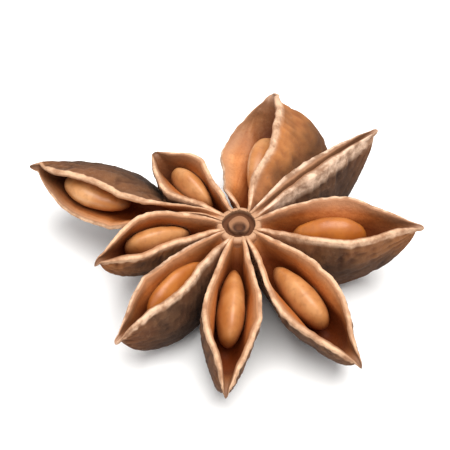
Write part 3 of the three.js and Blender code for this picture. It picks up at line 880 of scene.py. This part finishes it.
def husk_marks(paint):
    """The masks of the husk's mesh and the noises that its colours go by."""
    masks = ("inside", "lip", "relief", "sunk", "along", "ruddy", "golden", "weathered")
    return SimpleNamespace(
        patches=paint.noise(3.5, detail=2),
        specks=paint.noise(0.35, detail=4, roughness=0.65),
        blotches=paint.noise(1.3, detail=4, roughness=0.6),
        streaks=paint.noise_at(paint.grain_point(0.5, 9), scale=1, detail=4, roughness=0.6),
        **{mask: paint.mask(mask) for mask in masks},
    )


def flank_colour(paint, marks):
    """Dark with painted shade in the creases of the wrinkles and low down, redder on some carpels, and pale
    brown by the hub.
    """
    # Painted shade: the flank is darker down in the creases of its wrinkles, and so is its red brown.
    colour = paint.layer(FLANK.crease, FLANK.ridge, marks.relief, -0.9, 0.9)
    colour = paint.layer(colour, FLANK.patch, marks.patches, 0.45, 0.65, 0.6)
    red_brown = paint.layer(FLANK.ruddy_crease, FLANK.ruddy_ridge, marks.relief, -1.2, 0.7)
    ruddy = paint.math("MULTIPLY", marks.ruddy, paint.remap(marks.patches, 0.2, 0.5))
    colour = paint.mix(ruddy, colour, red_brown)
    colour = paint.layer(colour, FLANK.root, marks.along, 0.4, 0.1, 0.8)
    colour = paint.layer(colour, FLANK.speck, marks.specks, 0.55, 0.75, 0.4)
    # Painted shade: the flank darkens low down, towards the table.
    return paint.layer(colour, FLANK.shade_underneath, marks.sunk, 1.0, 4.5, 0.7)


def hollow_colour(paint, marks):
    """Streaked and blotchy: pale brown under the lips, partly painted light; orange further down; dark with
    painted shade far down beside the seed and at the hub; darker towards the beak.
    """
    brown = paint.layer(HOLLOW.brown, HOLLOW.brown_streak, marks.streaks, 0.35, 0.65)
    gold = paint.layer(HOLLOW.gold, HOLLOW.gold_streak, marks.streaks, 0.35, 0.65)
    # Partly the hollow's own gold and partly painted light: the share of gold differs per carpel, higher on
    # those whose hollows are lit brighter.
    colour = paint.mix(marks.golden, brown, gold)
    colour = paint.layer(colour, HOLLOW.blotch, marks.blotches, 0.45, 0.62, 0.3)
    colour = paint.layer(colour, HOLLOW.patch, marks.patches, 0.48, 0.62, 0.3)
    colour = paint.layer(colour, HOLLOW.speck, marks.specks, 0.5, 0.8, 0.5)
    # Painted light, partly the lip's pale colour running down: the wall is paler just under the lips.
    colour = paint.layer(colour, HOLLOW.upper, marks.sunk, 0.8, 0.05, 0.65)
    below = paint.remap(marks.sunk, 0.3, 1.0, 0, 0.45)
    orange = paint.math("MULTIPLY", paint.remap(marks.golden, 0.6, 1, 1, 0.4), below)
    colour = paint.mix(orange, colour, HOLLOW.orange)
    # Painted shade: the wall darkens far down in the hollow, beside the seed.
    colour = paint.layer(colour, HOLLOW.deep, marks.sunk, 0.9, 2.3, 0.95)
    colour = paint.layer(colour, HOLLOW.weathered, marks.weathered, 0.5, 1, 0.6)
    # Painted shade: darker at the hollow's end by the hub.
    in_root = paint.remap(marks.sunk, 0.1, 0.6, 0, 0.4)
    near_hub = paint.math("MULTIPLY", paint.remap(marks.along, 0.35, 0.1), in_root)
    colour = paint.mix(near_hub, colour, HOLLOW.root)
    # Darker towards the beak: partly the beak's own brown and partly painted shade in the hollow's narrow
    # end.
    return paint.layer(colour, HOLLOW.beak, marks.along, 0.6, 0.9, 0.75)


def rim_colour(paint, marks):
    """The pale split edge, which is blotchy, and greyer where it has weathered."""
    colour = paint.layer(RIM.dark, RIM.pale, marks.blotches, 0.34, 0.58)
    colour = paint.layer(colour, RIM.speck, marks.specks, 0.5, 0.75, 0.35)
    grey = paint.layer(RIM.grey_dark, RIM.grey_pale, marks.blotches, 0.4, 0.58)
    colour = paint.mix(paint.math("MULTIPLY", marks.weathered, 0.55), colour, grey)
    return paint.layer(colour, RIM.beak, marks.along, 0.85, 0.98, 0.3)


def crown_colour(paint, marks):
    """How far a point belongs to the hub's crown, and that crown's colour by its height and radius, with
    painted shade in its groove and dimple.
    """
    place = paint.tree.nodes.new("ShaderNodeSeparateXYZ")
    paint.put(place.inputs[0], paint.object_point())
    x, y, z = place.outputs
    radius = paint.from_axis(x, y)
    from_dimple = paint.from_axis(x, paint.math("ADD", y, HUB.dimple_offset * MM))
    within = paint.remap_mm(radius, HUB.top_radius + 0.3, HUB.top_radius)
    in_groove = paint.remap_mm(radius, HUB.groove_outer + 0.2, HUB.groove_outer + 0.1)
    raised = paint.remap_mm(z, RIM_HEIGHT - 0.35, RIM_HEIGHT + 0.02)
    # Painted shade: the knob is dark in and round its dimple.
    knob = paint.mix(paint.remap_mm(from_dimple, 0.5, 0.8), CROWN.dimple, CROWN.knob)
    collar = paint.layer(CROWN.collar, CROWN.speck, marks.specks, 0.4, 0.7, 0.6)
    top = paint.mix(paint.remap_mm(radius, HUB.groove_inner, HUB.groove_outer), knob, collar)
    share = paint.math("MULTIPLY", within, paint.math("MAXIMUM", in_groove, raised))
    # Painted shade: the crown is darker wherever it sinks below the rim, in the groove and the dimple.
    return share, paint.mix(raised, CROWN.groove, top)


def husk_material():
    paint = Paint("husk")
    marks = husk_marks(paint)
    colour = paint.layer(flank_colour(paint, marks), hollow_colour(paint, marks), marks.inside, 0.35, 0.8)
    colour = paint.layer(colour, rim_colour(paint, marks), marks.lip, 0.1, 0.7)
    tip = paint.layer(RIM.tip, RIM.weathered_tip, marks.weathered, 0, 0.4)
    colour = paint.layer(colour, tip, marks.along, 0.94, 1.0, 0.7)
    crown_share, crown = crown_colour(paint, marks)
    paint.put(paint.shader.inputs["Base Color"], paint.mix(crown_share, colour, crown))
    paint.put(paint.shader.inputs["Roughness"], paint.remap(marks.inside, 0.4, 1, 0.9, 0.5))
    paint.shader.inputs["Specular IOR Level"].default_value = 0.3
    rough = paint.bump(marks.specks, distance_mm=0.15, strength=0.5)
    streaked = paint.bump(marks.streaks, distance_mm=0.05, strength=0.4, normal=rough)
    paint.put(paint.shader.inputs["Normal"], streaked)
    return paint.material


def seed_material():
    paint = Paint("seed")
    tone = paint.noise(2.4, detail=2)
    fleck = paint.noise(0.5, detail=3)
    pale = paint.layer(COAT.pale_dark, COAT.pale, tone, 0.35, 0.65)
    toasted = paint.layer(COAT.toasted_dark, COAT.toasted, tone, 0.35, 0.65)
    colour = paint.mix(paint.mask("toasted"), pale, toasted)
    colour = paint.layer(colour, COAT.fleck, fleck, 0.5, 0.75, 0.35)
    colour = paint.layer(colour, COAT.end, paint.mask("seed_end"), 0.75, 0.98, 0.8)
    # Painted shade: the seed darkens on its lower side.
    colour = paint.layer(colour, COAT.shade_underneath, paint.mask("seed_high"), 0.6, -0.1, 0.7)
    paint.put(paint.shader.inputs["Base Color"], colour)
    paint.put(paint.shader.inputs["Roughness"], paint.remap(fleck, 0.3, 0.7, 0.3, 0.44))
    paint.put(paint.shader.inputs["Normal"], paint.bump(fleck, distance_mm=0.04, strength=0.3))
    paint.shader.inputs["Specular IOR Level"].default_value = 0.5
    return paint.material


# ---------------------------------------------------------------- stage


def floor():
    side = 400
    corners = [(-side, -side, 0), (side, -side, 0), (side, side, 0), (-side, side, 0)]
    plane = add_mesh("floor", corners, [(0, 1, 2, 3)])
    paint = Paint("floor")
    paint.shader.inputs["Base Color"].default_value = srgb(252, 252, 252)
    paint.shader.inputs["Roughness"].default_value = 0.6
    plane.data.materials.append(paint.material)


def area_light(name, place_mm, size_mm, power, colour=(1, 1, 1)):
    light = bpy.data.lights.new(name, "AREA")
    light.shape = "DISK"
    light.size = size_mm * MM
    light.energy = power
    light.color = colour
    lamp = bpy.data.objects.new(name, light)
    lamp.location = Vector(place_mm) * MM
    target = Vector((0, 0, 5)) * MM
    lamp.rotation_euler = (target - lamp.location).to_track_quat("-Z", "Y").to_euler()
    bpy.context.scene.collection.objects.link(lamp)


def studio():
    world = bpy.data.worlds.new("studio")
    world.use_nodes = True
    background = world.node_tree.nodes["Background"]
    background.inputs["Color"].default_value = (1, 1, 1, 1)
    background.inputs["Strength"].default_value = 0.68
    bpy.context.scene.world = world
    area_light("key", place_mm=(50, -20, 345), size_mm=380, power=1.88, colour=(1, 0.985, 0.96))
    area_light("fill", place_mm=(-180, -160, 230), size_mm=300, power=0.1)
    bpy.context.scene.view_settings.view_transform = "Standard"


def camera():
    """Looks down on the pod at the photograph's angle."""
    elevation = math.radians(50)
    distance = 300
    shown_width = 41
    target = Vector((-1.3, 1.6, 5.4))
    eye = target + distance * Vector((0, -math.cos(elevation), math.sin(elevation)))
    lens = bpy.data.cameras.new("camera")
    lens.sensor_width = 36
    lens.lens = lens.sensor_width * distance / shown_width
    lens.clip_start = 0.01
    lens.clip_end = 10
    view = bpy.data.objects.new("camera", lens)
    view.location = eye * MM
    view.rotation_euler = (target - eye).to_track_quat("-Z", "Y").to_euler()
    bpy.context.scene.collection.objects.link(view)
    bpy.context.scene.camera = view


# ---------------------------------------------------------------- the scene

camera()
studio()
floor()

husk = husk_mesh()
husk.data.materials.clear()
husk.data.materials.append(husk_material())
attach(husk, "root")
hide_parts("husk")

coat = seed_material()
for arm in CARPELS:
    if not arm.seed:
        continue
    kernel = seed_mesh(arm)
    kernel.data.materials.append(coat)
    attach(kernel, "root")
    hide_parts("seed_" + arm.name)
